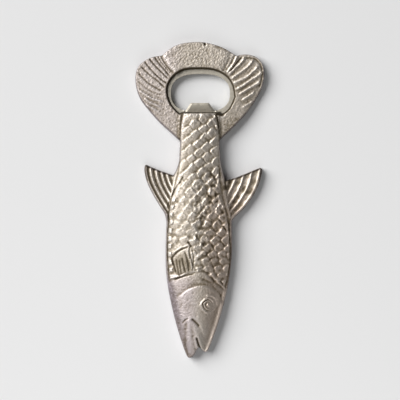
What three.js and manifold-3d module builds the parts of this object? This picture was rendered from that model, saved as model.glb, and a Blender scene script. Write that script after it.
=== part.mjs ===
// A fish-shaped bottle opener: one aluminium casting with a pressed-steel opener ring let into the
// back of its tail and held there by a bead of adhesive.
//
// Millimetres. It lies on its flat back: +Z is the face, +Y points from the head to the tail, and
// +X is to the right seen from the face. The origin is the middle of the footprint, on the back.
import * as THREE from "three";
import { mergeVertices } from "three/addons/utils/BufferGeometryUtils.js";
import Module from "manifold-3d";

const wasm = await Module();
wasm.setup();

// Driving dimensions.
const TAIL_THICKNESS = 6.5;
const FIN_THICKNESS = 5;
const PAD_RISE = 0.5; // the plain arc across the top of the tail stands this proud
const BACK_EDGE = 0.6; // bevel all round the back
const FACE_EDGE = 1; // bevel round the tail's face
const SIDE_WALL = 1; // the outline cuts the dome off this far in from where it meets the back
const STEEL = 2; // thickness of the pressed ring
const SEAT_Z = 4; // floor of the seat that the ring is bonded against
const SEAT_GAP = 0.3; // clearance round the ring in its seat
const RING_FLANGE = 5.4; // how far the ring reaches out from its own opening
const TAB_LIFT = 12; // degrees the lifting tab is pressed up towards the face
const BODY_END = 46.1; // where the scaled body stops, at the edge of the window

const NICKEL = { color: 0xb8aea0, roughness: 0.38, metalness: 1 };
const PRESSED_STEEL = { color: 0xa39c88, roughness: 0.42, metalness: 1 };
const ADHESIVE = { color: 0x57534c, roughness: 0.6, metalness: 0 };

// Outlines, each a closed run of smooth stretches that meet at its corners.
const TAIL = [
  // left lobe, from the neck out and up to the notch
  [[-10.6, 31.4], [-14.7, 35.2], [-21.7, 41.6], [-27.4, 48], [-32.1, 54.4], [-34.2, 60.8],
    [-34.4, 67.2], [-32.8, 71.4], [-29.3, 74.5], [-25, 76.4], [-20.3, 77.1]],
  // top arc
  [[-20.3, 77.1], [-16, 80.7], [-10.7, 83.2], [-4.8, 84.1], [1, 84.2], [7.2, 83], [13.1, 80.8],
    [19.4, 77]],
  // right lobe, from the notch out and down to the neck
  [[19.4, 77], [24.5, 77.8], [29.8, 76.5], [33.2, 73.1], [34.4, 67.5], [33.6, 61.3], [31.3, 56],
    [26.1, 48], [19, 40], [10.6, 32]],
  // across the neck, under the body
  [[10.6, 32], [-10.6, 31.4]],
];
const TAIL_PAD = [
  [[-19.2, 76], [-16, 79.3], [-10.7, 82], [-4.8, 83.1], [1, 83.2], [7.2, 82.1], [13, 79.7],
    [18, 76]],
  [[18, 76], [13.9, 67], [12, 62]],
  [[12, 62], [-12, 62]],
  [[-12, 62], [-13.3, 67], [-19.2, 76]],
];
const BODY = [
  [[8.8, BODY_END], [10.1, 37.3], [10.8, 29], [11.2, 21], [12, 16], [14.4, 5.3], [16.3, -5.3],
    [17.1, -18.7], [17.1, -27], [16.3, -37.3], [14.6, -48], [12, -58.6], [8.7, -69.3],
    [4.9, -79.2], [3.2, -81.2], [1.5, -80.6], [-0.4, -78.6]],
  [[-0.4, -78.6], [-1.9, -80.5], [-2.8, -82.5], [-5.1, -84.2], [-7.4, -82.6], [-11.9, -69.3],
    [-14.7, -58.6], [-16.9, -48], [-18.2, -37.3], [-18.4, -27], [-18.2, -18.7], [-17.4, -5.3],
    [-15.3, 5.3], [-12.1, 16], [-11.2, 21], [-10.9, 29], [-10.3, 37.3], [-9.4, BODY_END]],
  [[-9.4, BODY_END], [8.8, BODY_END]],
];
const LEFT_FIN = [
  [[-28.5, 18.9], [-21.3, 15.7], [-14.2, 13.2], [-8, 15]],
  [[-8, 15], [-8, -12]],
  [[-8, -12], [-17.7, -12]],
  [[-17.7, -12], [-18.9, -7.5], [-25.1, 2.7], [-28.2, 9.1], [-29.8, 17.4]],
  [[-29.8, 17.4], [-28.5, 18.9]],
];
const RIGHT_FIN = [
  [[32.2, 17.3], [24, 13.9], [13.6, 10.5], [8, 12]],
  [[8, 12], [8, -12.5]],
  [[8, -12.5], [16.6, -12.5]],
  [[16.6, -12.5], [18.7, -9.1], [24, -4], [28.8, 2.7], [32, 9.6], [33.3, 16]],
  [[33.3, 16], [32.2, 17.3]],
];
// The window through the tail.
const WINDOW = [
  [[-9.8, BODY_END], [-13.3, 48], [-16.2, 51.4], [-17.9, 57.3], [-17.2, 62], [-14, 66.6],
    [-8.6, 69.7], [-1, 70.3], [6.9, 69.8], [13.6, 66.8], [17.6, 61.5], [19, 55.2], [17.2, 50.5],
    [13.6, 46.6], [9.8, BODY_END]],
  [[9.8, BODY_END], [-9.8, BODY_END]],
];
// Raised plates of the head: the gill cover, the cheek inside it and the pectoral fin behind it.
const GILL_COVER = [
  [[-15.6, -42.1], [-10.7, -40.8], [-5.3, -38.6], [0, -37.6], [4.3, -39.4], [7.4, -43.2],
    [12.8, -47.4]],
  [[12.8, -47.4], [11.2, -54.5], [8.6, -64], [3.6, -78]],
  [[3.6, -78], [-6, -82]],
  [[-6, -82], [-9, -67], [-12, -55], [-15.6, -42.1]],
];
const CHEEK = [
  [[-10.1, -50.1], [-8, -48], [-5.3, -46.4], [0, -44.8], [6.4, -45.8], [10.4, -49.6]],
  [[10.4, -49.6], [10, -55], [7.6, -64], [3, -77]],
  [[3, -77], [-5.5, -80]],
  [[-5.5, -80], [-8, -67], [-9.8, -58], [-10.1, -50.1]],
];
const PECTORAL_FIN = [
  [[-14.9, -30.5], [-10, -26.3], [-5.4, -23.6]],
  [[-5.4, -23.6], [-4.6, -30], [-3.2, -37]],
  [[-3.2, -37], [-12.4, -40.4]],
  [[-12.4, -40.4], [-14.2, -36], [-14.9, -30.5]],
];
// Each of these is a ridge or slot from one point to another.
const PECTORAL_RAYS = [[[-11.6, -30], [-10.6, -38.6]], [[-8.9, -28.4], [-7.6, -37.6]],
  [[-6.4, -26.2], [-4.8, -36.4]]];
const LEFT_FIN_RAYS = [[[-27.2, 16.2], [-18.8, -5.6]], [[-24.2, 14.8], [-17.8, -1]],
  [[-21, 13.6], [-16.8, 3]], [[-17.9, 12.4], [-15.8, 6.6]]];
const RIGHT_FIN_RAYS = [[[30.8, 14.6], [17.6, -8.4]], [[27, 13.2], [17.1, -4.6]],
  [[23, 11.6], [16.2, -1.4]], [[18.9, 10], [15.8, 3]]];
const MOUTH_SLOTS = [[[-2.6, -72.8], [0.2, -79.5]], [[-5.4, -62.6], [-0.6, -66.8]]];

const RING_MIDDLE = [0.2, 57];
const RING_HALF = [15.8, 10.3]; // half the width and height of the steel ring's opening
const RING_SQUARENESS = 2.5; // 2 is an ellipse
const TAB = { rootHalf: 8.6, tipHalf: 4.9, rootY: 46.6, tipY: 51.7 };

// Height of the dome's crest at stations from nose to tail.
const CREST = [[-84.3, 5.2], [-75, 7.7], [-62, 9.9], [-48, 11.2], [-30, 11.8], [-10, 11.3],
  [8, 10], [24, 9.2], [BODY_END, 9]];

const { lerp, clamp, degToRad } = THREE.MathUtils;

function outline(stretches, steps = 4) {
  const points = [];
  for (const stretch of stretches) {
    const curve = new THREE.SplineCurve(stretch.map(([x, y]) => new THREE.Vector2(x, y)));
    const count = stretch.length > 2 ? steps * (stretch.length - 1) : 1;
    points.push(...curve.getPoints(count).slice(0, -1));
  }
  return points;
}

function superellipse([cx, cy], [halfX, halfY], squareness) {
  const count = 56;
  const points = [];
  for (let i = 0; i < count; i += 1) {
    const angle = (2 * Math.PI * i) / count;
    const [c, s] = [Math.cos(angle), Math.sin(angle)];
    const power = 2 / squareness;
    points.push(new THREE.Vector2(
      cx + halfX * Math.sign(c) * Math.abs(c) ** power,
      cy + halfY * Math.sign(s) * Math.abs(s) ** power,
    ));
  }
  return points;
}

// A closed mesh as a manifold-3d solid, and back.
function solid(geometry) {
  const bare = geometry.index ? geometry.toNonIndexed() : geometry.clone();
  bare.deleteAttribute("normal");
  bare.deleteAttribute("uv");
  const merged = mergeVertices(bare, 1e-4);
  return new wasm.Manifold(new wasm.Mesh({
    numProp: 3,
    vertProperties: merged.attributes.position.array,
    triVerts: new Uint32Array(merged.index.array),
  }));
}

function geometryOf(made) {
  const { vertProperties, triVerts, numProp, numVert } = made.getMesh();
  const positions = new Float32Array(numVert * 3);
  for (let i = 0; i < numVert; i += 1) {
    positions.set(vertProperties.subarray(i * numProp, i * numProp + 3), i * 3);
  }
  const geometry = new THREE.BufferGeometry();
  geometry.setAttribute("position", new THREE.BufferAttribute(positions, 3));
  geometry.setIndex(new THREE.BufferAttribute(triVerts, 1));
  geometry.computeVertexNormals();
  return geometry;
}

// A flat plate from z = low to z = high, with the same bevel on both of its faces.
function plate(points, low, high, bevel = 0, holes = []) {
  const shape = new THREE.Shape(points);
  holes.forEach((hole) => shape.holes.push(new THREE.Path(hole)));
  const geometry = new THREE.ExtrudeGeometry(shape, {
    depth: high - low - 2 * bevel,
    bevelEnabled: bevel > 0,
    bevelSize: bevel,
    bevelThickness: bevel,
    bevelOffset: -bevel,
    bevelSegments: 1,
  });
  geometry.translate(0, 0, low + bevel);
  return solid(geometry);
}

// A straight bar of the given width between two points, from z = low to z = high.
function bar([from, to], width, low, high) {
  const [a, b] = [new THREE.Vector2(...from), new THREE.Vector2(...to)];
  const aside = b.clone().sub(a).rotateAround(new THREE.Vector2(), Math.PI / 2);
  aside.setLength(width / 2);
  const corners = [a.clone().sub(aside), b.clone().sub(aside), b.clone().add(aside), a.add(aside)];
  return plate(corners, low, high);
}

// A ridge with a roof-shaped section, lying on a face at height z.
function ridge([from, to], width, z, height) {
  const section = new THREE.Shape([
    new THREE.Vector2(-width / 2, -0.5),
    new THREE.Vector2(width / 2, -0.5),
    new THREE.Vector2(0, height),
  ]);
  const [dx, dy] = [to[0] - from[0], to[1] - from[1]];
  const geometry = new THREE.ExtrudeGeometry(section, {
    depth: Math.hypot(dx, dy),
    bevelEnabled: false,
  });
  geometry.rotateX(Math.PI / 2); // the section stands up in z and the ridge runs along -y
  geometry.rotateZ(Math.atan2(dy, dx) + Math.PI / 2);
  geometry.translate(from[0], from[1], z);
  return solid(geometry);
}

const BODY_EDGE = outline(BODY);

// Where the body's outline crosses a line of constant y: its middle and its half width.
function bodySpan(y) {
  const crossings = [];
  BODY_EDGE.forEach((a, i) => {
    const b = BODY_EDGE[(i + 1) % BODY_EDGE.length];
    if ((a.y <= y) !== (b.y <= y)) crossings.push(lerp(a.x, b.x, (y - a.y) / (b.y - a.y)));
  });
  const [low, high] = [Math.min(...crossings), Math.max(...crossings)];
  return { middle: (low + high) / 2, half: (high - low) / 2 };
}

function crest(y) {
  const next = Math.max(1, CREST.findIndex((row) => row[0] >= y));
  const [a, b] = [CREST[next - 1], CREST[next]];
  return lerp(a[1], b[1], (y - a[0]) / (b[0] - a[0]));
}

function domeHeight(x, y) {
  const { middle, half } = bodySpan(y);
  return crest(y) * Math.sqrt(1 - ((x - middle) / (half + SIDE_WALL)) ** 2);
}

// The domed body: a turned profile, flattened and bent to lie inside the outline, then cut to it.
function dome() {
  const [nose, end] = [-84, BODY_END - 0.01];
  const stations = 28;
  const profile = [new THREE.Vector2(0, nose - 0.5)];
  for (let i = 0; i < stations; i += 1) {
    const y = lerp(nose, end, i / (stations - 1));
    profile.push(new THREE.Vector2(bodySpan(y).half + SIDE_WALL, y));
  }
  profile.push(new THREE.Vector2(0, end));
  const turned = new THREE.LatheGeometry(profile, 32);
  const place = turned.attributes.position;
  for (let i = 0; i < place.count; i += 1) {
    const y = clamp(place.getY(i), nose, end);
    const { middle, half } = bodySpan(y);
    place.setX(i, place.getX(i) + middle);
    place.setZ(i, (place.getZ(i) * crest(y)) / (half + SIDE_WALL));
  }
  return solid(turned).intersect(plate(BODY_EDGE, 0, 30, BACK_EDGE));
}

// Overlapping scales: discs lying on the dome, each tipped so that its tail edge stands proud.
function scales() {
  const [radius, rowPitch, columnPitch, tip] = [3.7, 4.1, 6.6, degToRad(8)];
  const made = [];
  for (let row = 0; row < 20; row += 1) {
    const y = 41 - rowPitch * row;
    const { middle, half } = bodySpan(y);
    const shift = row % 2 ? columnPitch / 2 : 0;
    for (let x = shift - 2 * columnPitch; x <= 2 * columnPitch; x += columnPitch) {
      const at = new THREE.Vector3(middle + x, y, domeHeight(middle + x, y));
      const underPectoralFin = Math.hypot(at.x + 9, at.y + 32) < 7;
      if (Math.abs(x) > half - 4 || underPectoralFin) continue;
      const slope = (domeHeight(at.x + 0.5, y) - domeHeight(at.x - 0.5, y));
      const disc = new THREE.CylinderGeometry(radius, radius, 2, 8);
      disc.rotateX(Math.PI / 2 + tip);
      disc.rotateY(-Math.atan(slope));
      disc.translate(at.x, at.y, at.z - 0.85);
      made.push(solid(disc));
    }
  }
  return made;
}

// Rays that fan out over a tail lobe from a point under the tail's root.
function tailRays(side) {
  const reach = [33, 37.5, 40, 39.5, 38, 36, 34, 32];
  return reach.map((far, i) => {
    const angle = degToRad(54 - 5.4 * i);
    const at = (distance) => [side * distance * Math.cos(angle), 47 + distance * Math.sin(angle)];
    return ridge([at(25.5 - 0.7 * i), at(far)], 1.4, TAIL_THICKNESS, 0.6);
  });
}

function eye() {
  const profile = [[0, -3], [3.2, -3], [3.2, 0.3], [2.7, 0.7], [2.1, 0.6], [1.8, 0.2], [1.3, 0.3],
    [0.9, 0.8], [0, 1]].map(([r, h]) => new THREE.Vector2(r, h));
  const geometry = new THREE.LatheGeometry(profile, 18);
  geometry.rotateX(Math.PI / 2);
  geometry.rotateY(degToRad(14));
  geometry.translate(4, -55.2, domeHeight(4, -55.2) + 0.9);
  return solid(geometry);
}

// The ring's outer edge, grown by a margin.
function ringOuter(margin) {
  const half = RING_HALF.map((value) => value + RING_FLANGE + margin);
  return superellipse(RING_MIDDLE, half, RING_SQUARENESS);
}

function buildCasting() {
  const body = dome();
  const proud = (tool, rise) => tool.intersect(body.translate([0, 0, rise]));
  return [
    plate(outline(TAIL), 0, TAIL_THICKNESS, FACE_EDGE),
    plate(outline(TAIL_PAD), 2, TAIL_THICKNESS + PAD_RISE, PAD_RISE),
    plate(outline(LEFT_FIN), 0, FIN_THICKNESS, BACK_EDGE),
    plate(outline(RIGHT_FIN), 0, FIN_THICKNESS, BACK_EDGE),
    ...tailRays(-1),
    ...tailRays(1),
    ...[...LEFT_FIN_RAYS, ...RIGHT_FIN_RAYS].map((ends) => ridge(ends, 1.3, FIN_THICKNESS, 0.5)),
    ...scales(),
    proud(plate(outline(GILL_COVER), 2, 30), 0.5),
    proud(plate(outline(CHEEK), 2, 30), 0.9),
    proud(plate(outline(PECTORAL_FIN), 2, 30), 0.6),
    ...PECTORAL_RAYS.map((ends) => proud(bar(ends, 0.9, 2, 30), 1)),
    eye(),
  ]
    .reduce((whole, piece) => whole.add(piece), body)
    .subtract(bar(MOUTH_SLOTS[0], 1.2, 4.5, 30))
    .subtract(bar(MOUTH_SLOTS[1], 0.8, 9.2, 30))
    .subtract(plate(outline(WINDOW), -1, 30))
    .subtract(plate(ringOuter(SEAT_GAP), -1, SEAT_Z));
}

function buildInsert() {
  const back = SEAT_Z - STEEL;
  const opening = superellipse(RING_MIDDLE, RING_HALF, RING_SQUARENESS);
  const ring = plate(ringOuter(0), back, SEAT_Z, 0.25, [opening]);
  const { rootHalf, tipHalf, rootY, tipY } = TAB;
  const reach = (tipY - rootY) / Math.cos(degToRad(TAB_LIFT));
  const tab = [[-rootHalf, -0.7], [rootHalf, -0.7], [rootHalf, 0], [tipHalf, reach],
    [-tipHalf, reach], [-rootHalf, 0]].map(([x, y]) => new THREE.Vector2(x, y));
  return ring.add(plate(tab, 0, STEEL, 0.4).rotate([TAB_LIFT, 0, 0]).translate([0, rootY, back]));
}

// The adhesive fills the corner between the ring's back and the wall of its seat.
function buildAdhesive() {
  const inner = superellipse(RING_MIDDLE, RING_HALF.map((value) => value + RING_FLANGE - 1.4),
    RING_SQUARENESS);
  return plate(ringOuter(SEAT_GAP - 0.1), 0.25, SEAT_Z - STEEL, 0.1, [inner]);
}

function piece(name, made, finish) {
  const mesh = new THREE.Mesh(geometryOf(made), new THREE.MeshStandardMaterial(finish));
  mesh.name = name;
  return mesh;
}

const opener = new THREE.Group();
opener.add(
  piece("fish_casting", buildCasting(), NICKEL),
  piece("opener_insert", buildInsert(), PRESSED_STEEL),
  piece("insert_adhesive", buildAdhesive(), ADHESIVE),
);

export default opener;
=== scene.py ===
"""Looks for the fish-shaped bottle opener: the sculpted casting, its pressed-steel ring and adhesive.

The casting is one closed mesh. Its face is a height field over the outline, worked out on a fine
grid in millimetres from the domed body, the flat fins and tail, and the relief carved into them.
Each of its points also carries two tones for its material: how dark it is from tarnish and from painted
light and shade, and how much painted shade greys it.
"""

import math
from types import SimpleNamespace

import bpy
import numpy as np
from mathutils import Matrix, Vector, geometry


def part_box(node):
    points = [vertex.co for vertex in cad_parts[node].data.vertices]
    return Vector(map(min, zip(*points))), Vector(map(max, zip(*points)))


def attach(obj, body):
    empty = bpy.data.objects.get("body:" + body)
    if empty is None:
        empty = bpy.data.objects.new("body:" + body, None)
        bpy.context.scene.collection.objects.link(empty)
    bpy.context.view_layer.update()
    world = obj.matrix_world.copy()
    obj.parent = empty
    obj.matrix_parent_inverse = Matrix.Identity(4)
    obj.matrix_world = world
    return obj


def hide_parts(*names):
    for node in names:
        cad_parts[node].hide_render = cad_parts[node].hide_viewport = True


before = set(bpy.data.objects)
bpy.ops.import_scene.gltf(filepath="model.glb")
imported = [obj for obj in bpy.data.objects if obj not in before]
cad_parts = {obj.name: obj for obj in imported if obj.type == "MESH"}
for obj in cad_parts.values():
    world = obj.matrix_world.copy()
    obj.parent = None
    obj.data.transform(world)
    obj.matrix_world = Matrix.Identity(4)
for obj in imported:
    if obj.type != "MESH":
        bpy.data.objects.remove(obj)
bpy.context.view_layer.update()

MM = 0.001
STEP = 0.3  # spacing of the grids
FAR = 30  # a distance, in mm, beyond the reach of every edge
STEEL = 2.0
RING_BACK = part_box("insert_adhesive")[1][2] / MM  # the ring lies on the adhesive
RING_TOP = RING_BACK + STEEL
TAIL_TOP = 6.3
FIN_TOP = 4.7
WALL_TOP = 1.2  # height at which the face rolls over into the side wall
RIM = 0.3  # width of the band round the outline and the window that is swept, not gridded
SHARP = math.radians(62)  # a corner sharper than this isn't shaded smooth

# --- Outlines, in mm, each a run of smooth stretches; each one ends where the next one starts.

LEFT_LOBE = [
    (-10.6, 31.4), (-14.7, 35.2), (-21.7, 41.6), (-27.4, 48), (-32.1, 54.4), (-34.2, 60.8), (-34.4, 67.2),
    (-32.8, 71.4), (-29.3, 74.5), (-25, 76.4)]
TOP_ARC = [(-20.3, 77.1), (-16, 80.7), (-10.7, 83.2), (-4.8, 84.1), (1, 84.2), (7.2, 83), (13.1, 80.8)]
RIGHT_LOBE = [
    (19.4, 77), (24.5, 77.8), (29.8, 76.5), (33.2, 73.1), (34.4, 67.5), (33.6, 61.3), (31.3, 56),
    (26.1, 48), (19, 40)]
RIGHT_WAIST = [(10.6, 32), (10.7, 27), (11.2, 20.5), (12.3, 15)]
RIGHT_FIN_TOP = [(13.6, 10.5), (18.6, 11.8), (24, 13.9), (29, 16)]
RIGHT_FIN_TIP = [(32.3, 17.3), (33, 17)]
RIGHT_FIN_EDGE = [(33.3, 15.8), (32, 9.6), (28.8, 2.7), (24, -4), (18.7, -9.1)]
RIGHT_FLANK = [
    (17, -11.5), (17.1, -18.7), (17.1, -27), (16.3, -37.3), (14.6, -48), (12, -58.6), (8.7, -69.3),
    (4.9, -79.2), (3.2, -81.2), (1.5, -80.6)]
LOWER_JAW = [
    (-0.4, -78.6), (-1.9, -80.5), (-2.8, -82.5), (-5.1, -84.2), (-7.4, -82.6), (-11.9, -69.3),
    (-14.7, -58.6), (-16.9, -48), (-18.2, -37.3), (-18.4, -27), (-18.2, -18.7)]
LEFT_FIN_EDGE = [(-17.9, -12), (-18.9, -7.5), (-21.3, -3.7), (-25.1, 2.7), (-28.2, 9.1), (-29.7, 15)]
LEFT_FIN_TOP = [(-29.6, 18.2), (-29.2, 19), (-28.4, 18.8), (-26.7, 17.9), (-21.3, 15.7)]
LEFT_WAIST = [(-14.2, 13.2), (-12.3, 17.1), (-11.2, 21), (-10.9, 26)]
SILHOUETTE = [
    LEFT_LOBE, TOP_ARC, RIGHT_LOBE, RIGHT_WAIST, RIGHT_FIN_TOP, RIGHT_FIN_TIP, RIGHT_FIN_EDGE,
    RIGHT_FLANK, LOWER_JAW, LEFT_FIN_EDGE, LEFT_FIN_TOP, LEFT_WAIST]
PEDUNCLE_END = 46.1
WINDOW = [
    [(-9.8, PEDUNCLE_END), (-10.9, 45.6), (-13.3, 47.7), (-16.2, 51.4), (-17.9, 57.3), (-17.2, 62),
     (-14, 66.6), (-8.6, 69.7), (-1, 70.3), (6.9, 69.8), (13.6, 66.8), (17.6, 61.5)],
    [(18.9, 55), (17.8, 52), (15.9, 48.4), (13.4, 46.1), (11.2, 45.4)],
    [(9.6, PEDUNCLE_END)]]
# The body's own edges, which run on under the fins, as (y, x), from the nose to the window.
BODY_LEFT = [
    (-84.2, -5.1), (-82.6, -7.4), (-69.3, -11.9), (-58.6, -14.7), (-48, -16.9), (-37.3, -18.2),
    (-27, -18.4), (-12, -17.9), (-5.3, -17.2), (5.3, -15.1), (13.2, -13.4), (17.1, -12.3), (21, -11.2),
    (29, -10.9), (37.3, -10.5), (42, -9.9), (46.1, -8.9)]
BODY_RIGHT = [
    (-84.2, -4.8), (-81.2, 3.2), (-79.2, 4.9), (-69.3, 8.7), (-58.6, 12), (-48, 14.6), (-37.3, 16.3),
    (-27, 17.1), (-11.5, 17), (-5.3, 15.8), (5.3, 13.8), (15, 12), (21, 11.1), (29, 10.7), (37.3, 10),
    (42, 9.3), (46.1, 8.2)]
CREST = [
    (-84.3, 5.2), (-75, 7.7), (-62, 9.9), (-48, 11.2), (-30, 11.8), (-10, 11.3), (8, 10), (24, 9.2),
    (46, 9)]
RING_MIDDLE = np.array([0.2, 57])
RING_HALF = np.array([15.8, 10.3])
RING_FLANGE = 5.4
SEAT_GAP = 0.3
RING_SQUARENESS = 2.5

# --- Plane geometry on the grid.

PER_SPAN = 6  # points on each span of a smooth curve


def smooth(points):
    """Points along a Catmull-Rom curve through the given ones."""
    p = np.array(points, float)
    if len(p) < 3:
        return p
    ends = np.vstack([p[:1], p, p[-1:]])
    t = np.arange(PER_SPAN)[:, None] / PER_SPAN
    runs = []
    for a, b, c, d in zip(ends, ends[1:], ends[2:], ends[3:]):
        v0, v1 = (c - a) / 2, (d - b) / 2
        runs.append((2 * b - 2 * c + v0 + v1) * t**3 + (-3 * b + 3 * c - 2 * v0 - v1) * t**2 + v0 * t + b)
    return np.vstack([*runs, p[-1:]])


def closed(stretches):
    """A closed run of points from smooth stretches that meet at corners."""
    corners = [s[:1] for s in stretches[1:] + stretches[:1]]
    return np.vstack([smooth(s + corner)[:-1] for s, corner in zip(stretches, corners)])


def superellipse(half, count):
    """Points round a superellipse about the middle of the ring."""
    angle = np.arange(count) * 2 * math.pi / count
    circle = np.stack([np.cos(angle), np.sin(angle)], 1)
    return RING_MIDDLE + half * np.sign(circle) * np.abs(circle) ** (2 / RING_SQUARENESS)


def distance(x, y, line):
    """Distance from each (x, y) to an open run of straight pieces, and how far along it is."""
    best = np.full(x.shape, np.inf)
    along = np.zeros(x.shape)
    run = 0.0
    for (ax, ay), (bx, by) in zip(line[:-1], line[1:]):
        dx, dy = bx - ax, by - ay
        length = math.hypot(dx, dy)
        t = np.clip(((x - ax) * dx + (y - ay) * dy) / length**2, 0, 1)
        d = (x - ax - t * dx) ** 2 + (y - ay - t * dy) ** 2
        nearer = d < best
        best = np.where(nearer, d, best)
        along = np.where(nearer, run + t * length, along)
        run += length
    return np.sqrt(best), along / run


def inside(x, y, ring):
    """Whether each (x, y) lies inside a closed ring."""
    result = np.zeros(np.shape(x), bool)
    for (ax, ay), (bx, by) in zip(ring, np.roll(ring, -1, 0)):
        if ay == by:
            continue
        crosses = (ay > y) != (by > y)
        result ^= crosses & (x < (bx - ax) * (y - ay) / (by - ay) + ax)
    return result


class Grid:
    """A rectangular grid of points with fields on it."""

    def __init__(self, low, high):
        self.xs = np.arange(low[0], high[0] + STEP, STEP)
        self.ys = np.arange(low[1], high[1] + STEP, STEP)
        self.x, self.y = np.meshgrid(self.xs, self.ys)

    def window(self, points, margin):
        """The part of the grid near some points."""
        p = np.asarray(points)
        i = np.searchsorted(self.xs, [p[:, 0].min() - margin, p[:, 0].max() + margin])
        j = np.searchsorted(self.ys, [p[:, 1].min() - margin, p[:, 1].max() + margin])
        return slice(j[0], j[1]), slice(i[0], i[1])

    def signed(self, ring, margin=4.0):
        """Distance to a closed ring, positive inside, and never below -margin."""
        field = np.full(self.x.shape, -float(margin))
        w = self.window(ring, margin)
        x, y = self.x[w], self.y[w]
        d, _ = distance(x, y, np.vstack([ring, ring[:1]]))
        field[w] = np.maximum(np.where(inside(x, y, ring), d, -d), -margin)
        return field

    def blur(self, field, size):
        """Gaussian blur with the given standard deviation in mm."""
        n = max(1, int(3 * size / STEP))
        k = np.exp(-0.5 * (np.arange(-n, n + 1) * STEP / size) ** 2)
        k /= k.sum()
        out = np.pad(field, n, mode="edge")
        out = sum(w * out[:, i:i + field.shape[1]] for i, w in enumerate(k))
        return sum(w * out[i:i + field.shape[0], :] for i, w in enumerate(k))

    def noise(self, seed, size):
        """Smooth random bumps about the given size, with a standard deviation of one."""
        field = self.blur(np.random.RandomState(seed).standard_normal(self.x.shape), size)
        return (field - field.mean()) / field.std()


def rise(value, low, high):
    """A smooth rise from 0 to 1 as the value goes from low to high."""
    t = np.clip((value - low) / (high - low), 0, 1)
    return t * t * (3 - 2 * t)


def table(rows, value):
    """Straight runs between rows of (value, result), level beyond the first and the last."""
    rows = np.array(rows, float)
    return np.interp(value, rows[:, 0], rows[:, 1])


# --- Closed meshes from fields.

CELLS = {  # corners a b c d go round a cell; 4 to 7 are crossings on ab, bc, cd and da
    1: [(0, 4, 7)], 2: [(1, 5, 4)], 3: [(0, 1, 5, 7)], 4: [(2, 6, 5)], 5: [(0, 4, 7), (2, 6, 5)],
    6: [(1, 2, 6, 4)], 7: [(0, 1, 2, 6, 7)], 8: [(3, 7, 6)], 9: [(0, 4, 6, 3)],
    10: [(1, 5, 4), (3, 7, 6)], 11: [(0, 1, 5, 6, 3)], 12: [(2, 3, 7, 5)], 13: [(0, 4, 5, 2, 3)],
    14: [(1, 2, 3, 7, 4)], 15: [(0, 1, 2, 3)],
}


def contour(grid, field):
    """Triangles over the part of the grid where field > 0, and the loops of points round it.

    Returns xy positions, triangles, and loops that keep the inside on their left."""
    ny, nx = field.shape
    least = 0.15 * STEP  # a crossing that fell too near a grid point would make slivers
    f = np.where(np.abs(field) < least, np.where(field > 0, least, -least), field)
    solid = f > 0
    number = np.full((3, ny, nx), -1)  # grid points, crossings to the right, crossings upwards
    count = int(solid.sum())
    number[0][solid] = np.arange(count)
    places = [np.stack([grid.x[solid], grid.y[solid]], 1)]
    for layer, (dj, di) in ((1, (0, 1)), (2, (1, 0))):
        here, there = f[:ny - dj, :nx - di], f[dj:, di:]
        cut = (here > 0) != (there > 0)
        t = (here / (here - there + (here == there)))[cut]
        j, i = np.nonzero(cut)
        places.append(np.stack([grid.xs[i] + t * di * STEP, grid.ys[j] + t * dj * STEP], 1))
        number[layer][j, i] = count + np.arange(len(t))
        count += len(t)
    code = solid[:-1, :-1] + 2 * solid[:-1, 1:] + 4 * solid[1:, 1:] + 8 * solid[1:, :-1]
    triangles, follows = [], {}
    for kind, rings in CELLS.items():
        j, i = np.nonzero(code == kind)
        ids = [number[0][j, i], number[0][j, i + 1], number[0][j + 1, i + 1], number[0][j + 1, i],
               number[1][j, i], number[2][j, i + 1], number[1][j + 1, i], number[2][j, i]]
        for ring in rings:
            for k in range(1, len(ring) - 1):
                triangles.append(np.stack([ids[ring[0]], ids[ring[k]], ids[ring[k + 1]]], 1))
            for a, b in zip(ring, ring[1:] + ring[:1]):
                if a > 3 and b > 3:
                    follows.update(zip(ids[a].tolist(), ids[b].tolist()))
    return np.vstack(places), np.vstack(triangles), join_loops(follows)


def join_loops(follows):
    """Closed loops from a dict that says which point comes after each one."""
    loops = []
    while follows:
        start, after = follows.popitem()
        loop = [start]
        while after != start:
            loop.append(after)
            after = follows.pop(after)
        loops.append(np.array(loop))
    return loops


def sample(grid, field, xy):
    """A field's value at any points, by bilinear interpolation."""
    last = 1.001  # keeps a point on the far edge inside the last cell
    u = np.clip((xy[:, 0] - grid.xs[0]) / STEP, 0, len(grid.xs) - last)
    v = np.clip((xy[:, 1] - grid.ys[0]) / STEP, 0, len(grid.ys) - last)
    i, j = u.astype(int), v.astype(int)
    u, v = u - i, v - j
    return ((field[j, i] * (1 - u) + field[j, i + 1] * u) * (1 - v)
            + (field[j + 1, i] * (1 - u) + field[j + 1, i + 1] * u) * v)


def relaxed(loop, passes):
    """A closed run of points or values, each drawn towards the mean of its neighbours."""
    for _ in range(passes):
        loop = (np.roll(loop, 1, 0) + 2 * loop + np.roll(loop, -1, 0)) / 4
    return loop


def outward(loop_xy):
    """Unit normals of a closed loop that keeps the inside on its left."""
    n = np.roll(loop_xy, -2, 0) - np.roll(loop_xy, 2, 0)
    n = relaxed(np.stack([n[:, 1], -n[:, 0]], 1), 6)
    return n / np.linalg.norm(n, axis=1)[:, None]


def add_object(name, data):
    made = bpy.data.objects.new(name, data)
    bpy.context.scene.collection.objects.link(made)
    return made


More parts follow.
